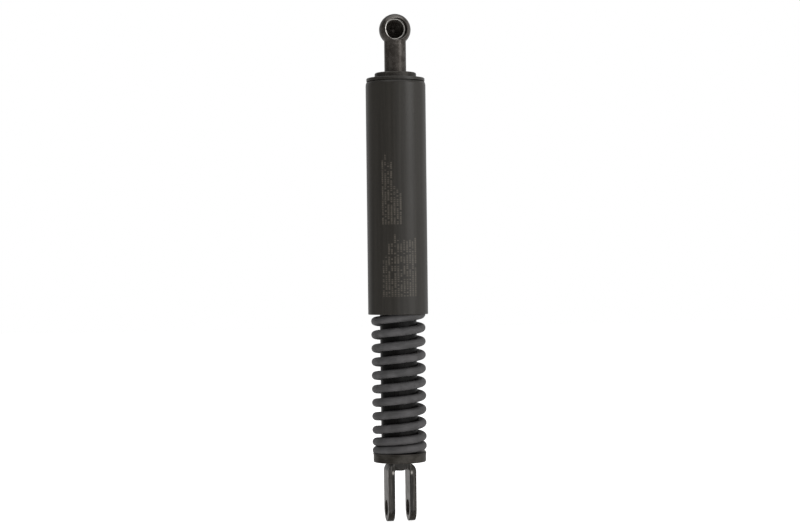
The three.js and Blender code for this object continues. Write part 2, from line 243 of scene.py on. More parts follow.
def soften(made, width, segments=3):
    """Rounds an object's sharp edges off. The width is in millimetres."""
    modifier = made.modifiers.new("Soften", "BEVEL")
    modifier.width = width * MM
    modifier.segments = segments
    modifier.limit_method = "ANGLE"
    modifier.angle_limit = SHARP_ANGLE
    settle(made)


def dress(made, body, finish, node):
    """Gives a piece its finish and its place in the frame."""
    even = made.modifiers.new("Even", "WEIGHTED_NORMAL")
    even.keep_sharp = True
    made.data.materials.append(finish)
    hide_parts(node)
    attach(made, body)


# Finishes.


class Finish:
    """One material's nodes, round a single shader. Every texture uses the piece's own coordinates."""

    def __init__(self, name, metallic, **sockets):
        self.material = bpy.data.materials.new(name)
        self.material.use_nodes = True
        self.tree = self.material.node_tree
        self.shader = self.tree.nodes["Principled BSDF"]
        self.shader.inputs["Metallic"].default_value = metallic
        for socket, value in sockets.items():
            self.shader.inputs[socket.replace("_", " ")].default_value = value
        self.place = self.tree.nodes.new("ShaderNodeTexCoord").outputs["Object"]
        self.normal = None

    def put(self, value, socket):
        if hasattr(value, "links"):
            self.tree.links.new(value, socket)
        else:
            socket.default_value = value

    def math(self, operation, first, second=0.0, third=0.0):
        node = self.tree.nodes.new("ShaderNodeMath")
        node.operation = operation
        for socket, value in zip(node.inputs, (first, second, third)):
            self.put(value, socket)
        return node.outputs[0]

    def product(self, first, *others):
        for other in others:
            first = self.math("MULTIPLY", first, other)
        return first

    def between(self, value, low, high):
        """1 where a value lies between two others, and 0 elsewhere."""
        return self.product(self.math("GREATER_THAN", value, low), self.math("LESS_THAN", value, high))

    def distance(self, first, second):
        squares = [self.math("POWER", part, 2.0) for part in (first, second)]
        return self.math("SQRT", self.math("ADD", *squares))

    def noise(self, size, stretch=(1, 1, 1), detail=3.0, roughness=0.5):
        """Noise with features of about that size in millimetres, drawn out along an axis by its stretch."""
        mapping = self.tree.nodes.new("ShaderNodeMapping")
        mapping.inputs["Scale"].default_value = [1 / (size * MM * axis) for axis in stretch]
        self.tree.links.new(self.place, mapping.inputs["Vector"])
        node = self.tree.nodes.new("ShaderNodeTexNoise")
        node.inputs["Scale"].default_value = 1.0
        node.inputs["Detail"].default_value = detail
        node.inputs["Roughness"].default_value = roughness
        self.tree.links.new(mapping.outputs[0], node.inputs["Vector"])
        return node.outputs["Fac"]

    def specks(self, size, share):
        """1 in small round specks, one in some cells of about that size, in millimetres."""
        node = self.tree.nodes.new("ShaderNodeTexVoronoi")
        node.inputs["Scale"].default_value = 1 / (size * MM)
        self.tree.links.new(self.place, node.inputs["Vector"])
        return self.spread(node.outputs["Distance"], share, 0.6 * share)

    def spread(self, value, low, high, bottom=0.0, top=1.0):
        """A value's stretch from low to high, made to run from bottom to top."""
        node = self.tree.nodes.new("ShaderNodeMapRange")
        node.interpolation_type = "SMOOTHSTEP"
        for socket, number in zip(node.inputs[1:5], (low, high, bottom, top)):
            socket.default_value = number
        self.tree.links.new(value, node.inputs["Value"])
        return node.outputs[0]

    def mix(self, share, first, second):
        node = self.tree.nodes.new("ShaderNodeMix")
        node.data_type = "RGBA"
        self.put(share, node.inputs["Factor"])
        for socket, value in zip((node.inputs[6], node.inputs[7]), (first, second)):
            self.put(value if hasattr(value, "links") else (*value, 1.0), socket)
        return node.outputs[2]

    def bump(self, height, depth):
        """Raises the surface by a height from 0 to 1, times a depth in millimetres."""
        node = self.tree.nodes.new("ShaderNodeBump")
        node.inputs["Distance"].default_value = depth * MM
        self.tree.links.new(height, node.inputs["Height"])
        if self.normal:
            self.tree.links.new(self.normal, node.inputs["Normal"])
        self.normal = node.outputs[0]

    def done(self, colour, roughness):
        self.put(colour, self.shader.inputs["Base Color"])
        self.put(roughness, self.shader.inputs["Roughness"])
        if self.normal:
            self.tree.links.new(self.normal, self.shader.inputs["Normal"])
        return self.material


def split(finish):
    """The piece's own X, Y and Z at each point, in millimetres."""
    apart = finish.tree.nodes.new("ShaderNodeSeparateXYZ")
    finish.tree.links.new(finish.place, apart.inputs[0])
    return [finish.math("DIVIDE", part, MM) for part in apart.outputs]


# The cover's print. A block's bottom, top and columns, then its first and last short columns and how
# much of its height they lack.

PRINT_PITCH = math.radians(5.8)
PRINT_START = math.radians(-41)
PRINT_DASH = 1.1
PRINT_GAPS = 0.2
PRINT_STROKE = 0.3
PRINT_UNEVEN = 0.16
PRINT_BLOCKS = ((169.7, 211.9, 7, 4, 7, 0.42), (126.9, 163.7, 12, 0, 2, 0.32))


def cell_chance(finish, column, cell):
    """A random share for each cell of the print."""
    key = finish.tree.nodes.new("ShaderNodeCombineXYZ")
    finish.put(column, key.inputs[0])
    finish.put(cell, key.inputs[1])
    chance = finish.tree.nodes.new("ShaderNodeTexWhiteNoise")
    finish.tree.links.new(key.outputs[0], chance.inputs["Vector"])
    return chance.outputs["Value"]


def column_chance(finish, column):
    """A random share for each column of the print."""
    chance = finish.tree.nodes.new("ShaderNodeTexWhiteNoise")
    chance.noise_dimensions = "1D"
    finish.put(column, chance.inputs["W"])
    return chance.outputs["Value"]


def off_middle(finish, value):
    """How far a value lies from the middle of its cell, as a share of the cell."""
    return finish.math("ABSOLUTE", finish.math("SUBTRACT", finish.math("FRACT", value), 0.5))


def print_block(finish, column, z, uneven, block):
    """1 inside one block of columns, which end unevenly at their tops."""
    bottom, top, columns, first, last, drop = block
    short = finish.between(column, first, last)
    cut = finish.math("MULTIPLY_ADD", uneven, PRINT_UNEVEN, finish.product(short, drop))
    reach = finish.math("MULTIPLY_ADD", cut, bottom - top, top)
    return finish.product(finish.between(z, bottom, reach), finish.between(column, 0.0, columns))


def print_mask(finish):
    """Faint rows of plain dashes along the cover, in two blocks that face the front."""
    x, y, z = split(finish)
    azimuth = finish.math("ARCTAN2", x, finish.math("MULTIPLY", y, -1.0))
    column = finish.math("DIVIDE", finish.math("SUBTRACT", azimuth, PRINT_START), PRINT_PITCH)
    cell = finish.math("DIVIDE", z, PRINT_DASH)
    column_number = finish.math("FLOOR", column)
    chance = cell_chance(finish, column_number, finish.math("FLOOR", cell))
    uneven = column_chance(finish, column_number)
    inked = finish.math("GREATER_THAN", chance, PRINT_GAPS)
    stroke = finish.math("LESS_THAN", off_middle(finish, column), PRINT_STROKE)
    half_dash = finish.spread(chance, PRINT_GAPS, 1.0, 0.24, 0.46)
    dash = finish.math("LESS_THAN", off_middle(finish, cell), half_dash)
    blocks = [print_block(finish, column, z, uneven, block) for block in PRINT_BLOCKS]
    return finish.product(inked, stroke, dash, finish.math("ADD", *blocks))


def cover_paint():
    finish = Finish("cover_paint", 0.0, Coat_Weight=0.25, Coat_Roughness=0.3)
    streaks = finish.noise(1.4, (1, 1, 60), 4.0)
    cloud = finish.noise(30, (1, 1, 2), 2.0)
    peel = finish.noise(0.7, detail=2.0)
    tint = finish.spread(streaks, 0.3, 0.7)
    specks = finish.product(finish.specks(7, 0.035), 0.5)
    ink = finish.product(print_mask(finish), 0.72)
    shade = finish.mix(tint, (0.0192, 0.0168, 0.0132), (0.0278, 0.0245, 0.0198))
    shade = finish.mix(specks, shade, (0.12, 0.115, 0.105))
    shade = finish.mix(ink, shade, (0.1, 0.087, 0.07))
    haze = finish.spread(cloud, 0.3, 0.7, 0.34, 0.42)
    drag = finish.spread(streaks, 0.3, 0.7, -0.03, 0.03)
    finish.bump(peel, 0.006)
    finish.bump(streaks, 0.004)
    return finish.done(shade, finish.math("ADD", haze, drag))


def tube_paint():
    finish = Finish("tube_paint", 0.0, IOR=1.3)
    streaks = finish.noise(0.8, (1, 1, 40), 3.0)
    rubbed = finish.noise(9, (1, 1, 4), 3.0)
    shade = finish.mix(finish.spread(rubbed, 0.45, 0.75), (0.005, 0.0046, 0.0043), (0.0108, 0.010, 0.0094))
    finish.bump(finish.noise(0.6, detail=2.0), 0.004)
    return finish.done(shade, finish.spread(streaks, 0.3, 0.7, 0.26, 0.38))


def spring_coating():
    finish = Finish("spring_coating", 0.15)
    grain = finish.noise(0.25, detail=4.0, roughness=0.65)
    patches = finish.noise(6, detail=3.0)
    shade = finish.mix(finish.spread(patches, 0.35, 0.7), (0.066, 0.064, 0.0645), (0.100, 0.0965, 0.098))
    shade = finish.mix(finish.spread(grain, 0.55, 0.75, 0.0, 0.35), shade, (0.14, 0.137, 0.137))
    finish.bump(grain, 0.02)
    return finish.done(shade, finish.spread(patches, 0.3, 0.7, 0.46, 0.6))


def ground_steel():
    """The spring's bare ground ends."""
    finish = Finish("ground_steel", 1.0)
    marks = finish.noise(0.15, (8, 1, 1), 3.0)
    shade = finish.mix(finish.spread(marks, 0.3, 0.7), (0.30, 0.29, 0.28), (0.52, 0.51, 0.49))
    finish.bump(marks, 0.006)
    return finish.done(shade, finish.spread(marks, 0.3, 0.7, 0.3, 0.5))


# A painted highlight on each bend's bulge, where the strap also swells: its colour, its middle in from the
# strap's inner side and
#  up from the pin, and its half width and half height. The painted shade beside it starts and ends that far
#  in.

BULGE_HIGHLIGHT_COLOUR = (0.40, 0.38, 0.35)
SPOT_IN = 1.15
SPOT_HEIGHT = 21.6
SPOT_SIZE = (0.65, 1.35)
SHADE_BAND_IN = (2.4, 1.3)


def painted_bulge_highlight(finish, inwards, up):
    """1 in the middle of each bend's bulge, where the highlight is painted."""
    across = finish.math("DIVIDE", finish.math("SUBTRACT", inwards, SPOT_IN), SPOT_SIZE[0])
    along = finish.math("DIVIDE", finish.math("SUBTRACT", up, SPOT_HEIGHT), SPOT_SIZE[1])
    return finish.spread(finish.distance(across, along), 1.15, 0.35)


def fork_steel():
    """Blackened strap: smooth sides and streaked sheared edges. On the sheared edges a highlight is painted
    on each bend's bulge, with painted flecks of highlight, painted shade beside each highlight and painted
    shade over the bends.
    """
    finish = Finish("fork_steel", 0.4)
    x, y, z = split(finish)
    inwards = finish.math("SUBTRACT", finish.math("ABSOLUTE", x), FORK_SIDE - STRAP_THICKNESS)
    edge = finish.spread(finish.math("ABSOLUTE", y), STRAP_HALF - 0.9, STRAP_HALF - 0.3)
    stain = finish.noise(4.5, detail=4.0, roughness=0.6)
    streaks = finish.noise(0.5, (1, 1, 22), 4.0, 0.6)
    # Painted shade: the sheared edges darken near the strap's inner side, below each painted highlight.
    below_bend = finish.spread(z, SPOT_HEIGHT - 1, SPOT_HEIGHT - 2.5)
    painted_shade_band = finish.product(finish.spread(inwards, *SHADE_BAND_IN), below_bend, 0.8)
    dark = finish.math("MAXIMUM", finish.spread(streaks, 0.5, 0.3, 0.0, 0.7), painted_shade_band)
    # Painted shade: the sheared edges darken over the bends, above the painted highlights.
    bend = finish.spread(z, SPOT_HEIGHT + 0.9, SPOT_HEIGHT + 2.4, 0.0, 0.6)
    dark = finish.math("MAXIMUM", dark, bend)
    pale = finish.spread(streaks, 0.52, 0.72, 0.0, 0.75)
    # Painted highlights: a light spot on each bend's bulge and small light flecks on the sheared edges.
    bright = finish.math("MAXIMUM", painted_bulge_highlight(finish, inwards, z), finish.specks(2.6, 0.075))
    shade = finish.mix(finish.spread(stain, 0.35, 0.7), (0.026, 0.022, 0.018), (0.056, 0.050, 0.044))
    shade = finish.mix(finish.product(edge, dark), shade, (0.008, 0.007, 0.006))
    shade = finish.mix(finish.product(edge, pale), shade, (0.15, 0.14, 0.125))
    shade = finish.mix(finish.product(edge, bright), shade, BULGE_HIGHLIGHT_COLOUR)
    finish.bump(streaks, 0.012)
    return finish.done(shade, finish.spread(stain, 0.3, 0.7, 0.28, 0.4))


def blackened_steel():
    """Turned and blackened, with fine burnish marks round it."""
    finish = Finish("blackened_steel", 0.4)
    marks = finish.noise(0.4, (14, 14, 1), 4.0, 0.6)
    stain = finish.noise(4.5, detail=4.0, roughness=0.6)
    shade = finish.mix(finish.spread(stain, 0.35, 0.7), (0.029, 0.025, 0.020), (0.066, 0.059, 0.051))
    shade = finish.mix(finish.spread(marks, 0.56, 0.76, 0.0, 0.55), shade, (0.15, 0.14, 0.126))
    finish.bump(marks, 0.008)
    return finish.done(shade, finish.spread(stain, 0.3, 0.7, 0.3, 0.46))


def lathe_marks(finish, reach):
    """Fine rings about the socket's axis."""
    rings = finish.tree.nodes.new("ShaderNodeTexNoise")
    rings.noise_dimensions = "1D"
    rings.inputs["Scale"].default_value = 1.0
    rings.inputs["Detail"].default_value = 2.0
    finish.put(finish.math("DIVIDE", reach, 0.16), rings.inputs["W"])
    return rings.outputs["Fac"]


def rim_wear_and_painted_lip_glint(finish, reach, y, scale):
    """1 on the mouth's rim, which is worn bright, and on the edge that its spot face cuts in the neck, which
    carries a painted highlight.
    """
    on_rim = finish.math("LESS_THAN", y, -5.85)
    rim = finish.product(finish.spread(reach, 7.2, 6.85), on_rim, finish.spread(scale, 0.25, 0.5))
    # Painted highlight: a light, broken line along the edge that the spot face cuts in the neck.
    from_lip = finish.math("ABSOLUTE", finish.math("SUBTRACT", reach, SPOT_FACE_RADIUS))
    on_neck = finish.math("LESS_THAN", y, -5.6)
    broken = finish.spread(scale, 0.4, 0.6, 0.0, 0.6)
    lip = finish.product(finish.spread(from_lip, 0.26, 0.05), on_neck, broken)
    return finish.math("MAXIMUM", rim, lip)


def forged_steel():
    """Blackened, with fine lathe marks about the socket's axis, a worn rim round its mouth with a painted
    highlight on its left arc, and a painted highlight on the edge that the spot face cuts in the neck.
    """
    finish = Finish("forged_steel", 0.5)
    stain = finish.noise(3.5, detail=4.0, roughness=0.6)
    scale = finish.noise(0.5, detail=3.0)
    x, y, z = split(finish)
    reach = finish.distance(x, finish.math("SUBTRACT", z, SOCKET_CENTRE))
    wear_and_glint = rim_wear_and_painted_lip_glint(finish, reach, y, scale)
    # Painted highlight: the rim's worn colour turns almost white towards its left arc, on -X.
    bright = finish.mix(finish.spread(x, -4.5, -6.2), (0.30, 0.28, 0.26), (0.85, 0.82, 0.78))
    shade = finish.mix(finish.spread(stain, 0.35, 0.7), (0.050, 0.042, 0.036), (0.105, 0.093, 0.083))
    shade = finish.mix(wear_and_glint, shade, bright)
    finish.put(finish.math("MULTIPLY_ADD", wear_and_glint, 0.4, 0.55), finish.shader.inputs["Metallic"])
    finish.bump(lathe_marks(finish, reach), 0.006)
    finish.bump(scale, 0.008)
    return finish.done(shade, finish.spread(stain, 0.3, 0.7, 0.21, 0.33))


def bare_steel():
    finish = Finish("bare_steel", 1.0)
    marks = finish.noise(0.14, (40, 40, 1), 3.0)
    tint = finish.noise(5, detail=3.0)
    shade = finish.mix(finish.spread(tint, 0.3, 0.7), (0.30, 0.29, 0.275), (0.42, 0.41, 0.395))
    finish.bump(marks, 0.004)
    return finish.done(shade, finish.spread(marks, 0.3, 0.7, 0.28, 0.42))


def chromed_rod():
    finish = Finish("chromed_rod", 1.0)
    haze = finish.noise(12, (1, 1, 6), 3.0)
    lines = finish.noise(0.1, (1, 1, 80), 2.0)
    shade = finish.mix(finish.spread(haze, 0.3, 0.7), (0.62, 0.63, 0.65), (0.70, 0.71, 0.72))
    return finish.done(shade, finish.spread(lines, 0.3, 0.7, 0.07, 0.13))


def bright_wire():
    finish = Finish("bright_wire", 0.75)
    drawn = finish.noise(0.3, detail=4.0)
    shade = finish.mix(finish.spread(drawn, 0.35, 0.7), (0.68, 0.655, 0.61), (0.84, 0.815, 0.77))
    finish.bump(drawn, 0.003)
    return finish.done(shade, finish.spread(drawn, 0.3, 0.7, 0.28, 0.42))


def sintered_bronze():
    finish = Finish("sintered_bronze", 0.9)
    pores = finish.specks(0.35, 0.12)
    tint = finish.noise(3, detail=3.0)
    shade = finish.mix(finish.spread(tint, 0.3, 0.7), (0.36, 0.24, 0.10), (0.48, 0.33, 0.15))
    shade = finish.mix(pores, shade, (0.06, 0.04, 0.02))
    finish.bump(pores, -0.01)
    return finish.done(shade, finish.spread(tint, 0.3, 0.7, 0.34, 0.48))


def seal_rubber():
    finish = Finish("seal_rubber", 0.0)
    grain = finish.noise(0.3, detail=4.0)
    shade = finish.mix(finish.spread(grain, 0.3, 0.7), (0.008, 0.008, 0.008), (0.016, 0.016, 0.016))
    finish.bump(grain, 0.012)
    return finish.done(shade, finish.spread(grain, 0.3, 0.7, 0.6, 0.75))


def black_plastic():
    finish = Finish("black_plastic", 0.0)
    grain = finish.noise(0.2, detail=3.0)
    shade = finish.mix(finish.spread(grain, 0.3, 0.7), (0.014, 0.015, 0.017), (0.024, 0.025, 0.028))
    finish.bump(grain, 0.006)
    return finish.done(shade, finish.spread(grain, 0.3, 0.7, 0.4, 0.52))


def pale_floor():
    """A pale sweep that glows a little, so that it stays as bright as the background."""
    finish = Finish("pale_floor", 0.0, Emission_Strength=0.9)
    finish.shader.inputs["Emission Color"].default_value = (1.0, 1.0, 1.0, 1.0)
    tone = finish.noise(300, detail=2.0)
    shade = finish.mix(finish.spread(tone, 0.3, 0.7), (0.86, 0.86, 0.86), (0.9, 0.9, 0.9))
    return finish.done(shade, 0.8)


# Pieces, from the bottom up.

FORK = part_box("fork")
FORK_SIDE = FORK[1].x / MM
FORK_TOP = FORK[1].z / MM
STRAP_HALF = FORK[1].y / MM
STRAP_THICKNESS = 4.0
INNER_BEND = 1.5
MIDDLE_BEND = INNER_BEND + STRAP_THICKNESS / 2
PIN_HOLE_RADIUS = 4.75
STUD_HOLE_RADIUS = 3.05
FORK_EDGE = 0.6

# Along the middle of the strap, from the middle of its web: where a bend starts and ends, and the pin hole.
WEB_END = FORK_SIDE - STRAP_THICKNESS / 2 - MIDDLE_BEND
BEND_END = WEB_END + MIDDLE_BEND * math.pi / 2
PIN_AT = BEND_END + FORK_TOP - STRAP_THICKNESS / 2 - MIDDLE_BEND

# The swelling beside a bend, and the planes that divide the strap before it is bent.
BULGE_AT = BEND_END - 2.4
BULGE_SPREAD = 2.1
BULGE_OUT = 0.75
BULGE_IN = 0.25
BEND_SLICES = [WEB_END - 2 + 0.45 * step for step in range(33)]
THICKNESS_SLICES = [0.35 * step for step in range(-3, 4)]


def flat_strap():
    """The strap before it is bent, lying in the XY plane along X, with its edges rounded."""
    outline = arc(PIN_AT, 0, STRAP_HALF, -90, 90, 40) + arc(-PIN_AT, 0, STRAP_HALF, 90, 270, 40)
    half = STRAP_THICKNESS / 2
    plate = [(x * MM, y * MM) for x, y in outline]
    strap = prism("fork_strap", plate, -half * MM, half * MM)
    for middle, radius in ((PIN_AT, PIN_HOLE_RADIUS), (-PIN_AT, PIN_HOLE_RADIUS), (0, STUD_HOLE_RADIUS)):
        cutter = [(0, -2 * half), (radius, -2 * half), (radius, 2 * half), (0, 2 * half)]
        shift = Matrix.Translation((middle * MM, 0, 0))
        combine(strap, turned("hole", cutter, 64, shift), "DIFFERENCE")
    soften(strap, FORK_EDGE, 4)
    return strap


def bulge(along, up):
    """How far a bend pushes the strap's edge face out: its inner side swells and its outer side draws in."""
    near = math.exp(-(((along - BULGE_AT) / BULGE_SPREAD) ** 2))
    inner = min(max(0.6 - up / STRAP_THICKNESS, 0.0), 1.0)
    return near * (BULGE_OUT * inner**1.5 - BULGE_IN)


def bent(point):
    """Where a point of the flat strap goes, in millimetres. The strap's upper side is the fork's outside."""
    along = abs(point.x)
    across = point.y
    up = point.z
    if abs(across) > STRAP_HALF / 2:
        across += math.copysign(bulge(along, up), across)
    side = math.copysign(1, point.x)
    if along <= WEB_END:
        return Vector((side * along, across, FORK_TOP - STRAP_THICKNESS / 2 + up))
    centre = FORK_TOP - STRAP_THICKNESS / 2 - MIDDLE_BEND
    if along >= BEND_END:
        return Vector((side * (WEB_END + MIDDLE_BEND + up), across, centre - (along - BEND_END)))
    turn = (along - WEB_END) / MIDDLE_BEND
    reach = MIDDLE_BEND + up
    return Vector((side * (WEB_END + reach * math.sin(turn)), across, centre + reach * math.cos(turn)))


def slice_up(maker, places, direction):
    """Cuts a mesh into strips by planes at some places along a direction, in millimetres."""
    for place in places:
        parts = [*maker.verts, *maker.edges, *maker.faces]
        bmesh.ops.bisect_plane(maker, geom=parts, plane_co=direction * place * MM, plane_no=direction)


def make_fork():
    """Rounds the flat strap's edges, divides it finely near its bends, and bends it."""
    strap = flat_strap()
    maker = bmesh.new()
    maker.from_mesh(strap.data)
    slice_up(maker, [*BEND_SLICES, *(-place for place in BEND_SLICES)], Vector((1, 0, 0)))
    slice_up(maker, THICKNESS_SLICES, Vector((0, 0, 1)))
    for vertex in maker.verts:
        vertex.co = bent(vertex.co / MM) * MM
    bpy.data.objects.remove(strap)
    return to_object("fork_strap", maker)


RIVET_RADIUS = 3.2
RIVET_CORNER = 0.5
STUD_RADIUS = 3
PLUG_NECK_RADIUS = 5
PLUG_GROOVE_RADIUS = 8.6
PLUG_CHAMFER = 0.6


def make_end_plug():
    """The tube's lower plug: a rolled-in groove, a neck, and a stud riveted over under the fork's web."""
    plug = Span("end_plug")
    web = FORK_TOP - STRAP_THICKNESS
    seat = Span("lower_spring_seat")
    shoulder = Span("lower_seat_shim").top
    groove = (shoulder + plug.top) / 2
    profile = [
        (0, plug.bottom),
        (2.6, plug.bottom, 0.4),
        (RIVET_RADIUS, plug.bottom + RIVET_CORNER, 0.3),
        (RIVET_RADIUS, web),
        (STUD_RADIUS, web),
        (STUD_RADIUS, seat.bottom),
        (PLUG_NECK_RADIUS, seat.bottom, 0.3),
        (PLUG_NECK_RADIUS, shoulder),
        (plug.radius, shoulder, 0.3),
        (plug.radius, groove - 1, 0.2),
        (PLUG_GROOVE_RADIUS, groove - 1, 0.2),
        (PLUG_GROOVE_RADIUS, groove + 1, 0.2),
        (plug.radius, groove + 1, 0.2),
        (plug.radius, plug.top - PLUG_CHAMFER, 0.2),
        (plug.radius - PLUG_CHAMFER, plug.top, 0.2),
        (0, plug.top),
    ]
    return turned("riveted_plug", profile)


SEAT_BORE = 5.05


def make_lower_seat():
    seat = Span("lower_spring_seat")
    return turned(
        "lower_seat_plate",
        [
            (SEAT_BORE, seat.bottom, 0.2),
            (seat.radius, seat.bottom, 0.7),
            (seat.radius, seat.top, 0.15),
            (SEAT_BORE, seat.top, 0.15),
        ],
        TURNED_SIDES,
    )


def make_shim():
    shim = Span("lower_seat_shim")
    return washer("lower_seat_flange", SEAT_BORE, shim.radius, shim.bottom, shim.top, 0.2, TURNED_SIDES)


TUBE_BORE = 9.75
BEAD_HEIGHT = 161.5
BEAD_DEPTH = 0.55
TUBE_LIP_BORE = 7.4


def make_pressure_tube():
    tube = Span("pressure_tube")
    lip = tube.top - 1.2
    profile = [
        (TUBE_BORE, tube.bottom, 0.2),
        (tube.radius, tube.bottom, 0.3),
        (tube.radius, BEAD_HEIGHT - 1.25, 1.0),
        (tube.radius - BEAD_DEPTH, BEAD_HEIGHT - 0.5, 0.5),
        (tube.radius - BEAD_DEPTH, BEAD_HEIGHT + 0.5, 0.5),
        (tube.radius, BEAD_HEIGHT + 1.25, 1.0),
        (tube.radius, tube.top, 1.2),
        (TUBE_LIP_BORE, tube.top, 0.3),
        (TUBE_LIP_BORE, lip, 0.3),
        (TUBE_BORE, lip),
        (TUBE_BORE, BEAD_HEIGHT + 1.0, 0.4),
        (TUBE_BORE - BEAD_DEPTH, BEAD_HEIGHT + 0.5, 0.4),
        (TUBE_BORE - BEAD_DEPTH, BEAD_HEIGHT - 0.5, 0.4),
        (TUBE_BORE, BEAD_HEIGHT - 1.0, 0.4),
    ]
    return turned("gas_cylinder", profile, TURNED_SIDES)


GLAND_BORE = 5.09


def make_guide():
    guide = Span("rod_guide")
    profile = [
        (GLAND_BORE, guide.bottom, 0.3),
        (guide.radius, guide.bottom, 0.3),
        (guide.radius, guide.top, 0.3),
        (GLAND_BORE + 1.2, guide.top, 0.2),
        (GLAND_BORE, guide.top - 1.2, 0.4),
    ]
    return turned("guide_bush", profile)


def make_seal():
    seal = Span("rod_seal")
    middle = (seal.bottom + seal.top) / 2
    profile = [
        (GLAND_BORE, seal.bottom, 0.3),
        (seal.radius, seal.bottom, 0.2),
        (seal.radius, seal.top, 0.2),
        (GLAND_BORE, seal.top, 0.3),
        (GLAND_BORE, seal.top - 1.1, 0.3),
        (GLAND_BORE + 0.8, middle, 0.5),
        (GLAND_BORE, seal.bottom + 1.1, 0.3),
    ]
    return turned("lip_seal", profile)


def make_retainer():
    retainer = Span("seal_retainer")
    return washer("seal_washer", RETAINER_BORE, retainer.radius, retainer.bottom, retainer.top, 0.15)


# Helper spring: a right-handed helix from +X, closed at its ends, with its ends ground flat.

WIRE_RADIUS = 2.5
COIL_RADIUS = 13.85
TIP_DROP = 0.8
CLOSED_PITCH = 5.04
OPEN_PITCH = 8.15
CLOSED_TURNS = 1.4
RAMP_TURNS = 0.8
RAMP_TOP = CLOSED_TURNS * CLOSED_PITCH + RAMP_TURNS * (CLOSED_PITCH + OPEN_PITCH) / 2
SPRING = Span("coil_spring")
COIL_RISE = SPRING.height + 2 * TIP_DROP
COIL_TURNS = 2 * (CLOSED_TURNS + RAMP_TURNS) + (COIL_RISE - 2 * RAMP_TOP) / OPEN_PITCH
COIL_STEPS = round(COIL_TURNS * 48)
WIRE_SIDES = 24
FLAT_SIDES = 7


def coil_height(turns):
    """Height of the wire's middle above its lower tip."""
    if turns > COIL_TURNS / 2:
        return COIL_RISE - coil_height(COIL_TURNS - turns)
    if turns < CLOSED_TURNS:
        return turns * CLOSED_PITCH
    ramp = turns - CLOSED_TURNS
    if ramp > RAMP_TURNS:
        return RAMP_TOP + (ramp - RAMP_TURNS) * OPEN_PITCH
    growth = (OPEN_PITCH - CLOSED_PITCH) / RAMP_TURNS
    return CLOSED_TURNS * CLOSED_PITCH + ramp * CLOSED_PITCH + growth * ramp * ramp / 2


def coil_slope(turns):
    """Rise per turn."""
    step = 0.001
    low = max(turns - step, 0.0)
    high = min(turns + step, COIL_TURNS)
    return (coil_height(high) - coil_height(low)) / (high - low)


def section(depth):
    """A wire section as (outwards, up) shares of its radius, cut flat at that depth below its middle."""
    round_sides = WIRE_SIDES - FLAT_SIDES
    even = math.pi * FLAT_SIDES / WIRE_SIDES
    corner = max(math.acos(depth), even)
    points = []
    for step in range(round_sides):
        angle = corner - math.pi / 2 + 2 * (math.pi - corner) * step / round_sides
        points.append((math.cos(angle), math.sin(angle)))
    for step in range(FLAT_SIDES):
        share = 1 - 2 * step / FLAT_SIDES
        if corner > even:
            points.append((-math.sin(corner) * share, -depth))
        else:
            points.append((-math.sin(corner * share), max(-math.cos(corner * share), -depth)))
    return points


def coil_ring(turns):
    """The wire's outline at some turns. The upper half has its flat on top, its points in the same order."""
    angle = 2 * math.pi * turns
    outwards = Vector((math.cos(angle), math.sin(angle), 0))
    around = Vector((-math.sin(angle), math.cos(angle), 0)) * (2 * math.pi * COIL_RADIUS)
    tangent = (around + Vector((0, 0, coil_slope(turns)))).normalized()
    upwards = outwards.cross(tangent)
    height = SPRING.bottom - TIP_DROP + coil_height(turns)
    centre = outwards * COIL_RADIUS + Vector((0, 0, height))
    upper = turns > COIL_TURNS / 2
    room = SPRING.top - height if upper else height - SPRING.bottom
    shape = section(min(room / (WIRE_RADIUS * upwards.z), 1.0))
    if upper:
        mirror = WIRE_SIDES // 2 - FLAT_SIDES
        shape = [shape[(mirror - side) % WIRE_SIDES] for side in range(WIRE_SIDES)]
        shape = [(out, -up) for out, up in shape]
    return [(centre + WIRE_RADIUS * (outwards * out + upwards * up)) * MM for out, up in shape]


def make_spring():
    """The whole coil, its ground faces and wire ends in the second finish."""
    maker = bmesh.new()
    turns = [COIL_TURNS * step / COIL_STEPS for step in range(COIL_STEPS + 1)]
    rings = [[maker.verts.new(point) for point in coil_ring(turn)] for turn in turns]
    for lower, upper in zip(rings, rings[1:]):
        join_rings(maker, lower, upper)
    maker.faces.new(rings[0])
    maker.faces.new(rings[-1])
    bottom = (SPRING.bottom + 0.01) * MM
    top = (SPRING.top - 0.01) * MM
    for face in maker.faces:
        heights = [vertex.co.z for vertex in face.verts]
        ground = max(heights) < bottom or min(heights) > top
        face.material_index = 1 if ground or len(face.verts) > 4 else 0
    return to_object("helper_coil", maker)


def share_stroke():
    """Works out the share of the stroke that each section of the wire's open pitch has by then. The shares
    are not used.
    """
    closing = COIL_RISE - CLOSED_PITCH * COIL_TURNS
    weights = []
    for step in range(COIL_STEPS + 1):
        turns = COIL_TURNS * step / COIL_STEPS
        weights += [(coil_height(turns) - CLOSED_PITCH * turns) / closing] * WIRE_SIDES


def dress_spring(coil, coating, ground):
    coil.modifiers.new("Even", "WEIGHTED_NORMAL").keep_sharp = True
    coil.data.materials.append(coating)
    coil.data.materials.append(ground)
    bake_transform(coil)
    share_stroke()
    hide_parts("coil_spring")


# Seats under the cap.


UPPER_SEAT_BORE = 6.2
UPPER_SEAT_SPIGOT = 10.8
SHOULDER_BORE = 4.05
RETAINER_BORE = 5.6
STUD_BORE = 3.05


def make_upper_seat():
    """The ring that the spring pushes up, with a spigot inside the coil."""
    seat = Span("upper_spring_seat")
    flange = SPRING.top
    profile = [
        (UPPER_SEAT_BORE, seat.bottom, 0.2),
        (UPPER_SEAT_SPIGOT, seat.bottom, 0.6),
        (UPPER_SEAT_SPIGOT, flange, 0.3),
        (seat.radius, flange, 0.25),
        (seat.radius, seat.top, 0.25),
        (UPPER_SEAT_BORE, seat.top, 0.2),
    ]
    return turned("spring_cup", profile)


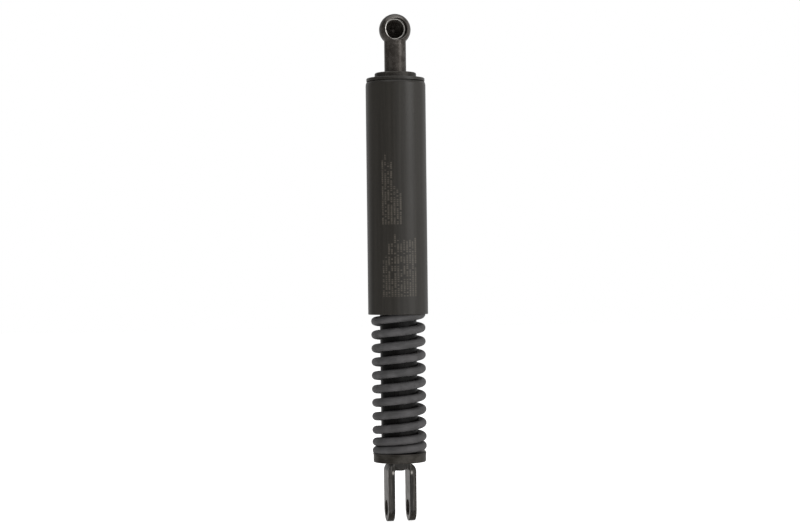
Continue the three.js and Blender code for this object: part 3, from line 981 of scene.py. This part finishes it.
def make_slip_washer():
    slip = Span("slip_washer")
    return washer("thrust_washer", UPPER_SEAT_BORE, slip.radius, slip.bottom, slip.top, 0.15)


def make_rod_end_washer():
    ring = Span("rod_end_washer")
    return washer("shoulder_washer", SHOULDER_BORE, ring.radius, ring.bottom, ring.top, 0.2)


# Rod and piston.


ROD_STUD_RADIUS = 3
ROD_THREAD_RADIUS = 4
PISTON_GROOVE_RADIUS = 7.7
PISTON_LAND = 2.4
PISTON_GROOVE_WIDTH = 3.0


def make_rod():
    """The rod, its stud through the piston below and its thread through the cap above."""
    rod = Span("piston_rod")
    shoulder = Span("orifice_disc").top
    upper = Span("rod_end_washer").bottom
    profile = [
        (0, rod.bottom),
        (ROD_STUD_RADIUS, rod.bottom, 0.6),
        (ROD_STUD_RADIUS, shoulder),
        (rod.radius, shoulder, 0.3),
        (rod.radius, upper, 0.3),
        (ROD_THREAD_RADIUS, upper),
        (ROD_THREAD_RADIUS, rod.top, 0.6),
        (0, rod.top),
    ]
    return turned("chromed_shaft", profile)


def make_piston():
    """The piston, with a groove for its ring."""
    piston = Span("piston")
    low = piston.bottom + PISTON_LAND
    high = low + PISTON_GROOVE_WIDTH
    profile = [
        (STUD_BORE, piston.bottom, 0.2),
        (piston.radius, piston.bottom, 0.6),
        (piston.radius, low, 0.2),
        (PISTON_GROOVE_RADIUS, low, 0.3),
        (PISTON_GROOVE_RADIUS, high, 0.3),
        (piston.radius, high, 0.2),
        (piston.radius, piston.top, 0.6),
        (STUD_BORE, piston.top, 0.2),
    ]
    return turned("piston_head", profile)


def make_orifice_disc():
    disc = Span("orifice_disc")
    return washer("throttle_disc", STUD_BORE, disc.radius, disc.bottom, disc.top, 0.12)


NUT_BORE = 3.1
NUT_CORNER_DROP = 0.5


def make_nut():
    """A hexagon, its corners turned down, round a bore."""
    nut = Span("piston_nut")
    corner = nut.radius * MM
    angles = [math.radians(60 * side) for side in range(6)]
    hexagon = [(corner * math.cos(a), corner * math.sin(a)) for a in angles]
    made = prism("hex_nut", hexagon, nut.bottom * MM, nut.top * MM)
    drop = NUT_CORNER_DROP
    blank = [
        (0, nut.bottom),
        (nut.radius - 2 * drop, nut.bottom),
        (nut.radius + 0.1, nut.bottom + drop),
        (nut.radius + 0.1, nut.top - drop),
        (nut.radius - 2 * drop, nut.top),
        (0, nut.top),
    ]
    combine(made, turned("blank", blank), "INTERSECT")
    low = nut.bottom - 1
    high = nut.top + 1
    bore = [(0, low), (NUT_BORE, low), (NUT_BORE, high), (0, high)]
    combine(made, turned("bore", bore), "DIFFERENCE")
    return made


SPLIT_RING_RADIUS = 9.66
SPLIT_RING_BORE = 8
SPLIT_RING_GAP = math.degrees(0.06)


def make_piston_ring():
    """A split ring with a square section and slightly rounded edges."""
    ring = Span("piston_ring")
    end = 360 - SPLIT_RING_GAP
    outline = arc(0, 0, SPLIT_RING_RADIUS, SPLIT_RING_GAP, end, SMALL_SIDES)
    outline += arc(0, 0, SPLIT_RING_BORE, end, SPLIT_RING_GAP, SMALL_SIDES)
    flat = [(x * MM, y * MM) for x, y in outline]
    made = prism("split_ring", flat, ring.bottom * MM, ring.top * MM)
    soften(made, 0.12, 2)
    return made


# Cover tube, cap and collar.

COVER_SIDES = 160
COVER_BORE = 16.8
CORNER_IN = 0.6
CORNER_DOWN = 2.4


def make_cover():
    cover = Span("outer_tube")
    shoulder = cover.top - CORNER_DOWN
    profile = [
        (COVER_BORE, cover.bottom, 0.15),
        (cover.radius, cover.bottom, 0.35),
        (cover.radius, shoulder, 2.0),
        (cover.radius - 0.2 * CORNER_IN, shoulder + 0.5 * CORNER_DOWN, 1.0),
        (cover.radius - CORNER_IN, cover.top, 0.4),
        (COVER_BORE - CORNER_IN, cover.top, 0.15),
        (COVER_BORE, shoulder + 0.4, 0.3),
    ]
    return turned("cover_tube", profile, COVER_SIDES)


def make_cap():
    """The cap, its spigot grooved so that the cover tube's top edge is rolled in behind its flange."""
    cap = Span("top_cap")
    spigot = COVER_BORE - 0.1
    groove = spigot - CORNER_IN
    flange = Span("outer_tube").top + 0.4
    profile = [
        (SHOULDER_BORE, cap.bottom, 0.2),
        (spigot, cap.bottom, 0.2),
        (spigot, cap.bottom + 0.5, 0.2),
        (groove, cap.bottom + 1, 0.3),
        (groove, flange, 0.2),
        (cap.radius, flange, 0.2),
        (cap.radius, cap.top, 0.5),
        (SHOULDER_BORE, cap.top, 0.2),
    ]
    return turned("end_cap", profile, COVER_SIDES)


def make_collar():
    collar = Span("cap_collar")
    profile = [
        (SHOULDER_BORE, collar.bottom, 0.2),
        (collar.radius, collar.bottom, 0.15),
        (collar.radius, collar.top, 1.0),
        (SHOULDER_BORE, collar.top, 0.2),
    ]
    return turned("cap_boss", profile, TURNED_SIDES)


# Ball socket: heights in these profiles run from the middle of the head towards its mouth, along -Y.

NECK_RADIUS = 6.55
MOUTH = -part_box("ball_socket")[0].y / MM
SPOT_FACE_RADIUS = 9.0
SOCKET_BORE = 6.55
SEAT_RADIUS = 5.6
SEAT_DEPTH = 3.3
GROOVE_RADIUS = 7.35
GROOVE_AT = 3.9
GROOVE_WIDTH = 1.1
MOUTH_SLOPE = 0.25
RING_SHIFT = -0.85
RING_RADIUS = 6.0
RING_WIRE = 0.4
RING_GAP = 0.14
RING_STEPS = 96
RING_SIDES = 16
DISH = 0.5
DIMPLE_RADIUS = 1.5
DIMPLE_DEPTH = 7.4
TO_MOUTH = Matrix.Translation((0, 0, SOCKET_CENTRE * MM)) @ Matrix.Rotation(math.radians(90), 4, "X")


def socket_head():
    """A ball with a flat mouth that has a rounded rim."""
    rim = math.degrees(math.asin(MOUTH / HEAD_RADIUS))
    profile = arc(0, 0, HEAD_RADIUS, -90, rim, 40)
    profile[0] = (0, -HEAD_RADIUS)
    profile[-1] = (*profile[-1], 0.2)
    return turned("socket_body", [*profile, (0, MOUTH)], TURNED_SIDES, TO_MOUTH)


def socket_neck():
    """The neck, cut back where the spot face runs into it."""
    collar = Span("cap_collar").top
    top = SOCKET_CENTRE - 4
    profile = [(0, collar), (NECK_RADIUS, collar, 0.25), (NECK_RADIUS, top), (0, top)]
    neck = turned("neck", profile, TURNED_SIDES)
    face = MOUTH - 0.02
    spot = [(0, face), (SPOT_FACE_RADIUS, face), (SPOT_FACE_RADIUS, face + 5), (0, face + 5)]
    combine(neck, turned("spot_face", spot, TURNED_SIDES, TO_MOUTH), "DIFFERENCE")
    soften(neck, 0.12, 2)
    return neck


def socket_hollow():
    """The ball's seat, the bore with its ring groove, and a shallow dish round the mouth."""
    low = GROOVE_AT - GROOVE_WIDTH / 2
    high = GROOVE_AT + GROOVE_WIDTH / 2
    profile = [
        (0, -DIMPLE_DEPTH),
        (DIMPLE_RADIUS, 0.7 - DIMPLE_DEPTH, 0.15),
        (SEAT_RADIUS, -SEAT_DEPTH, 0.12),
        (SOCKET_BORE, -SEAT_DEPTH, 0.12),
        (SOCKET_BORE, low, 0.1),
        (GROOVE_RADIUS, low, 0.1),
        (GROOVE_RADIUS, high, 0.1),
        (SOCKET_BORE, high, 0.1),
        (SOCKET_BORE, MOUTH - MOUTH_SLOPE * DISH, 0.1),
        (SOCKET_BORE + 2 * DISH, MOUTH + MOUTH_SLOPE * DISH),
        (0, MOUTH + MOUTH_SLOPE * DISH),
    ]
    return turned("hollow", profile, TURNED_SIDES, TO_MOUTH)


def make_socket():
    body = socket_head()
    combine(body, socket_neck(), "UNION")
    combine(body, socket_hollow(), "DIFFERENCE")
    top = Span("piston_rod").top + 1
    below = Span("cap_collar").bottom - 5
    hole = [(0, below), (SHOULDER_BORE, below), (SHOULDER_BORE, top), (0, top)]
    combine(body, turned("rod_hole", hole), "DIFFERENCE")
    return body


def make_snap_ring():
    """An open wire ring that lies over to one side of its groove, its gap towards -X."""
    maker = bmesh.new()
    rings = []
    for step in range(RING_STEPS + 1):
        turn = math.pi + RING_GAP + 2 * (math.pi - RING_GAP) * step / RING_STEPS
        outwards = Vector((math.cos(turn), 0, math.sin(turn)))
        centre = Vector((RING_SHIFT, -GROOVE_AT, SOCKET_CENTRE)) + RING_RADIUS * outwards
        points = []
        for side in range(RING_SIDES):
            angle = 2 * math.pi * side / RING_SIDES
            offset = outwards * math.cos(angle) + Vector((0, math.sin(angle), 0))
            points.append((centre + RING_WIRE * offset) * MM)
        rings.append([maker.verts.new(point) for point in points])
    for first, second in zip(rings, rings[1:]):
        join_rings(maker, first, second)
    maker.faces.new(rings[0])
    maker.faces.new(rings[-1])
    ring = to_object("snap_ring", maker)
    soften(ring, 0.12, 2)
    return ring


# The whole strut.


def build_strut():
    cover = cover_paint()
    black = blackened_steel()
    bare = bare_steel()
    plastic = black_plastic()
    dress(make_fork(), "cylinder", fork_steel(), "fork")
    dress(make_end_plug(), "cylinder", black, "end_plug")
    dress(make_lower_seat(), "cylinder", black, "lower_spring_seat")
    dress(make_shim(), "cylinder", black, "lower_seat_shim")
    dress(make_pressure_tube(), "cylinder", tube_paint(), "pressure_tube")
    dress(make_guide(), "cylinder", sintered_bronze(), "rod_guide")
    dress(make_seal(), "cylinder", seal_rubber(), "rod_seal")
    dress(make_retainer(), "cylinder", bare, "seal_retainer")
    dress_spring(make_spring(), spring_coating(), ground_steel())
    dress(make_upper_seat(), "spring_seat", bare, "upper_spring_seat")
    dress(make_slip_washer(), "spring_seat", plastic, "slip_washer")
    dress(make_rod_end_washer(), "rod", bare, "rod_end_washer")
    dress(make_rod(), "rod", chromed_rod(), "piston_rod")
    dress(make_piston(), "rod", bare, "piston")
    dress(make_orifice_disc(), "rod", bare, "orifice_disc")
    dress(make_nut(), "rod", bare, "piston_nut")
    dress(make_piston_ring(), "piston_ring", plastic, "piston_ring")
    dress(make_cover(), "rod", cover, "outer_tube")
    dress(make_cap(), "rod", cover, "top_cap")
    dress(make_collar(), "rod", black, "cap_collar")
    dress(make_socket(), "rod", forged_steel(), "ball_socket")
    dress(make_snap_ring(), "rod", bright_wire(), "socket_ring")


# Studio.

VIEW_AZIMUTH = -10.5
VIEW_DISTANCE = 1.149
VIEW_HEIGHT = 0.1407
AIM_HEIGHT = 0.1459
AIM_ASIDE = 0.00145
VIEW_ROLL = 0.68
LENS = 86.0
SURROUND = 0.16
FLOOR_REACH = 4.0
FLOOR_GAP = 0.0005
WARM = (1.0, 0.94, 0.88)


def heading(azimuth):
    """The level direction towards an azimuth: 0 is -Y, and 90 is +X."""
    angle = math.radians(azimuth)
    return Vector((math.sin(angle), -math.cos(angle), 0))


def add_camera():
    data = bpy.data.cameras.new("view")
    data.lens = LENS
    data.sensor_width = 36
    data.clip_start = 0.05
    data.clip_end = 20
    camera = bpy.data.objects.new("view", data)
    bpy.context.scene.collection.objects.link(camera)
    aside = heading(VIEW_AZIMUTH + 90) * AIM_ASIDE
    camera.location = heading(VIEW_AZIMUTH) * VIEW_DISTANCE + aside + Vector((0, 0, VIEW_HEIGHT))
    aim = aside + Vector((0, 0, AIM_HEIGHT))
    camera.rotation_mode = "QUATERNION"
    level = (aim - camera.location).to_track_quat("-Z", "Y")
    camera.rotation_quaternion = level @ Quaternion((0, 0, 1), -math.radians(VIEW_ROLL))
    bpy.context.scene.camera = camera


def add_softbox(name, azimuth, distance, height, width, tall, radiance, tilt=0.0):
    """A softbox that faces the strut. Its radiance is what a mirror in its light would show."""
    data = bpy.data.lights.new(name, "AREA")
    data.shape = "RECTANGLE"
    data.size = width
    data.size_y = tall
    data.energy = radiance * width * tall * math.pi
    light = bpy.data.objects.new(name, data)
    bpy.context.scene.collection.objects.link(light)
    light.location = heading(azimuth) * distance + Vector((0, 0, height))
    aim = Vector((0, 0, height - math.tan(math.radians(tilt)) * distance))
    light.rotation_mode = "QUATERNION"
    light.rotation_quaternion = (aim - light.location).to_track_quat("-Z", "Y")
    light.visible_camera = False
    return light


def add_world():
    """White where the camera sees it, and a dim grey for everything else."""
    world = bpy.data.worlds.new("studio")
    world.use_nodes = True
    bpy.context.scene.world = world
    nodes = world.node_tree.nodes
    links = world.node_tree.links
    surround = nodes["Background"]
    surround.inputs["Color"].default_value = (SURROUND, SURROUND, SURROUND, 1)
    backdrop = nodes.new("ShaderNodeBackground")
    backdrop.inputs["Color"].default_value = (1, 1, 1, 1)
    choice = nodes.new("ShaderNodeMixShader")
    seen = nodes.new("ShaderNodeLightPath")
    links.new(seen.outputs["Is Camera Ray"], choice.inputs[0])
    links.new(surround.outputs[0], choice.inputs[1])
    links.new(backdrop.outputs[0], choice.inputs[2])
    links.new(choice.outputs[0], nodes["World Output"].inputs[0])


def add_floor():
    maker = bmesh.new()
    reach = FLOOR_REACH
    corners = [(-reach, -reach), (reach, -reach), (reach, reach), (-reach, reach)]
    level = CAD_LOW.z - FLOOR_GAP
    maker.faces.new([maker.verts.new((x, y, level)) for x, y in corners])
    floor = to_object("floor", maker)
    floor.data.materials.append(pale_floor())
    floor.visible_glossy = False
    floor.visible_shadow = False


def build_studio():
    """Each softbox: azimuth, distance and height, then width and tallness in metres, then radiance."""
    add_camera()
    add_world()
    add_floor()
    add_softbox("key", 45, 0.9, 0.55, 0.44, 0.7, 1.65)
    add_softbox("key_low", 45, 0.9, 0.0, 0.44, 0.4, 0.5)
    add_softbox("right_back", 132, 1.0, 0.25, 0.9, 1.3, 0.3)
    add_softbox("left_back", -162, 1.0, 0.25, 0.9, 1.3, 0.26)
    left_low = add_softbox("left_low", -168, 1.0, -0.12, 0.5, 0.22, 0.36)
    left_low.data.color = WARM
    add_softbox("front_fill", 10, 1.0, 0.30, 0.7, 1.1, 0.32)
    add_softbox("right_fill", 82, 1.0, 0.30, 0.8, 1.1, 0.32)
    add_softbox("low", 12, 0.8, -0.2, 0.16, 0.12, 6.0, tilt=-15)
    add_softbox("overhead", 0, 0.001, 1.3, 1.6, 1.6, 1.0, tilt=89.9)
    bpy.context.scene.view_settings.view_transform = "Standard"


build_strut()
build_studio()
